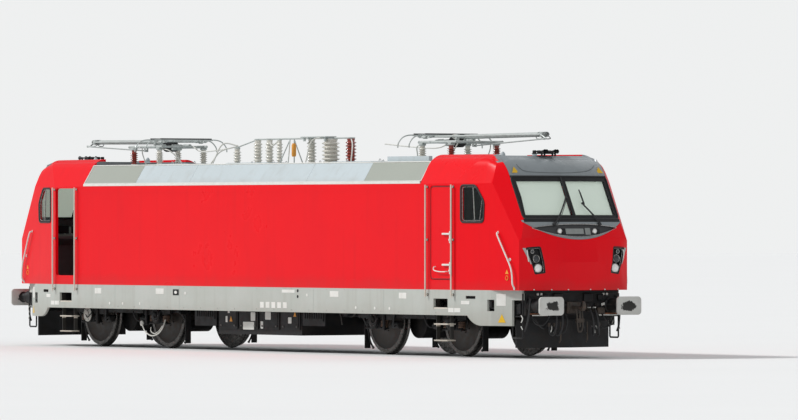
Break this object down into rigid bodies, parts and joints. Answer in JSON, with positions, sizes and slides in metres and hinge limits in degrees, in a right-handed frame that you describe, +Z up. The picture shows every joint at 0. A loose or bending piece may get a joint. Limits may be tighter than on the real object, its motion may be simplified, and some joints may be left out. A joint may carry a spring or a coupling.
{
  "type": "four-axle electric locomotive",
  "caption": "Red and grey electric locomotive with a cab at each end, swivelling bogies, turning wheelsets, folding pantographs and cab doors that open.",
  "frame": {"origin": "middle of the locomotive at the tips of the wheel flanges", "axes": "+X along the locomotive towards end 2, +Y across it, +Z up"},
  "size_m": [19, 3.1174, 4.2],
  "materials": {
    "black_steel": "satin black paint, dusty",
    "skirt_grey": "light grey paint",
    "body_red": "gloss red paint",
    "roof_grey": "satin grey paint",
    "front_grey": "satin grey paint",
    "window_glass": "tinted glass",
    "lamp_glass": "dark lamp glass",
    "cab_lining": "grey lining",
    "converter_grey": "grey cabinets",
    "seat_fabric": "dark seat cloth",
    "rail_white": "cream paint",
    "buffer_grey": "light grey paint with grease",
    "coupling_steel": "dark forged steel",
    "insulator_brown": "red-brown glaze",
    "insulator_cream": "cream insulators",
    "arm_grey": "painted light metal",
    "wheel_steel": "brown steel, bright tread",
    "wiper_black": "black"
  },
  "bodies": {
    "carbody": {"underframe": "black_steel", "side_skirts": "skirt_grey", "side_walls": "body_red", "roof_slopes": "roof_grey", "roof_hatches": "roof_grey", "cab_shell_1": "body_red", "cab_shell_2": "body_red", "cab_hoods": "body_red", "front_panels": "front_grey", "cab_windows": "window_glass", "front_lamps": "lamp_glass", "cab_bulkheads": "cab_lining", "driver_desks": "cab_lining", "driver_seats": "seat_fabric", "rails_and_steps": "rail_white", "buffers": "buffer_grey", "coupling_gear": "coupling_steel", "ploughs": "black_steel", "underfloor_equipment": "black_steel", "roof_insulators": "insulator_brown", "roof_switchgear": "insulator_cream", "pantograph_bases": "arm_grey", "wipers": "wiper_black", "traction_converters": "converter_grey"},
    "bogie_1": {"bogie_frame_1": "black_steel", "bogie_springs_1": "black_steel", "bogie_motors_1": "black_steel"},
    "wheelset_1a": {"wheelset_1a": "wheel_steel"},
    "wheelset_1b": {"wheelset_1b": "wheel_steel"},
    "door_1a": {"door_1a": "body_red"},
    "door_1b": {"door_1b": "body_red"},
    "lower_arm_1": {"lower_arm_1": "arm_grey"},
    "upper_arm_1": {"upper_arm_1": "arm_grey"},
    "guide_rod_1": {"guide_rod_1": "arm_grey"},
    "pantograph_head_1": {"pantograph_head_1": "arm_grey"},
    "bogie_2": {"bogie_frame_2": "black_steel", "bogie_springs_2": "black_steel", "bogie_motors_2": "black_steel"},
    "wheelset_2a": {"wheelset_2a": "wheel_steel"},
    "wheelset_2b": {"wheelset_2b": "wheel_steel"},
    "door_2a": {"door_2a": "body_red"},
    "door_2b": {"door_2b": "body_red"},
    "lower_arm_2": {"lower_arm_2": "arm_grey"},
    "upper_arm_2": {"upper_arm_2": "arm_grey"},
    "guide_rod_2": {"guide_rod_2": "arm_grey"},
    "pantograph_head_2": {"pantograph_head_2": "arm_grey"}
  },
  "joints": [
    {"name": "bogie_1_swivel", "type": "hinge", "parent": "carbody", "child": "bogie_1", "pos_m": [-5.22, 0, 0.9], "axis": [0, 0, 1], "range_deg": [-4, 4]},
    {"name": "wheelset_1a_spin", "type": "hinge", "parent": "bogie_1", "child": "wheelset_1a", "pos_m": [-6.52, 0, 0.655], "axis": [0, 1, 0], "continuous": true},
    {"name": "wheelset_1b_spin", "type": "hinge", "parent": "bogie_1", "child": "wheelset_1b", "pos_m": [-3.92, 0, 0.655], "axis": [0, 1, 0], "continuous": true},
    {"name": "door_1a_swing", "type": "hinge", "parent": "carbody", "child": "door_1a", "pos_m": [-6.442, -1.4385, 2.3], "axis": [0, 0, -1], "range_deg": [-90, 0]},
    {"name": "door_1b_swing", "type": "hinge", "parent": "carbody", "child": "door_1b", "pos_m": [-6.442, 1.4385, 2.3], "axis": [0, 0, 1], "range_deg": [0, 90]},
    {"name": "lower_arm_1_lift", "type": "hinge", "parent": "carbody", "child": "lower_arm_1", "pos_m": [-5.4, 0, 4.13], "axis": [0, 1, 0], "range_deg": [0, 26.5]},
    {"name": "upper_arm_1_fold", "type": "hinge", "parent": "lower_arm_1", "child": "upper_arm_1", "pos_m": [-7.97992, 0, 4.15], "axis": [0, -1, 0], "range_deg": [0, 50.8]},
    {"name": "pantograph_head_1_level", "type": "hinge", "parent": "upper_arm_1", "child": "pantograph_head_1", "pos_m": [-4.73996, 0, 4.135], "axis": [0, 1, 0], "range_deg": [0, 24.3]},
    {"name": "guide_rod_1_lift", "type": "hinge", "parent": "carbody", "child": "guide_rod_1", "pos_m": [-5.88, -0.12, 3.957], "axis": [0, 1, 0], "range_deg": [0, 28.56]},
    {"name": "bogie_2_swivel", "type": "hinge", "parent": "carbody", "child": "bogie_2", "pos_m": [5.22, 0, 0.9], "axis": [0, 0, 1], "range_deg": [-4, 4]},
    {"name": "wheelset_2a_spin", "type": "hinge", "parent": "bogie_2", "child": "wheelset_2a", "pos_m": [3.92, 0, 0.655], "axis": [0, 1, 0], "continuous": true},
    {"name": "wheelset_2b_spin", "type": "hinge", "parent": "bogie_2", "child": "wheelset_2b", "pos_m": [6.52, 0, 0.655], "axis": [0, 1, 0], "continuous": true},
    {"name": "door_2a_swing", "type": "hinge", "parent": "carbody", "child": "door_2a", "pos_m": [6.442, -1.4385, 2.3], "axis": [0, 0, 1], "range_deg": [0, 90]},
    {"name": "door_2b_swing", "type": "hinge", "parent": "carbody", "child": "door_2b", "pos_m": [6.442, 1.4385, 2.3], "axis": [0, 0, -1], "range_deg": [0, 90]},
    {"name": "lower_arm_2_lift", "type": "hinge", "parent": "carbody", "child": "lower_arm_2", "pos_m": [5.4, 0, 4.13], "axis": [0, -1, 0], "range_deg": [0, 26.5]},
    {"name": "upper_arm_2_fold", "type": "hinge", "parent": "lower_arm_2", "child": "upper_arm_2", "pos_m": [7.97992, 0, 4.15], "axis": [0, 1, 0], "range_deg": [0, 50.8]},
    {"name": "pantograph_head_2_level", "type": "hinge", "parent": "upper_arm_2", "child": "pantograph_head_2", "pos_m": [4.73996, 0, 4.135], "axis": [0, -1, 0], "range_deg": [0, 24.3]},
    {"name": "guide_rod_2_lift", "type": "hinge", "parent": "carbody", "child": "guide_rod_2", "pos_m": [5.88, -0.12, 3.957], "axis": [0, -1, 0], "range_deg": [0, 28.56]}
  ],
  "couplings": [
    {"joint": "upper_arm_1_fold", "follows": "lower_arm_1_lift", "ratio": 1.915},
    {"joint": "pantograph_head_1_level", "follows": "lower_arm_1_lift", "ratio": 0.915},
    {"joint": "guide_rod_1_lift", "follows": "lower_arm_1_lift", "ratio": 1.076},
    {"joint": "upper_arm_2_fold", "follows": "lower_arm_2_lift", "ratio": 1.915},
    {"joint": "pantograph_head_2_level", "follows": "lower_arm_2_lift", "ratio": 0.915},
    {"joint": "guide_rod_2_lift", "follows": "lower_arm_2_lift", "ratio": 1.076}
  ]
}
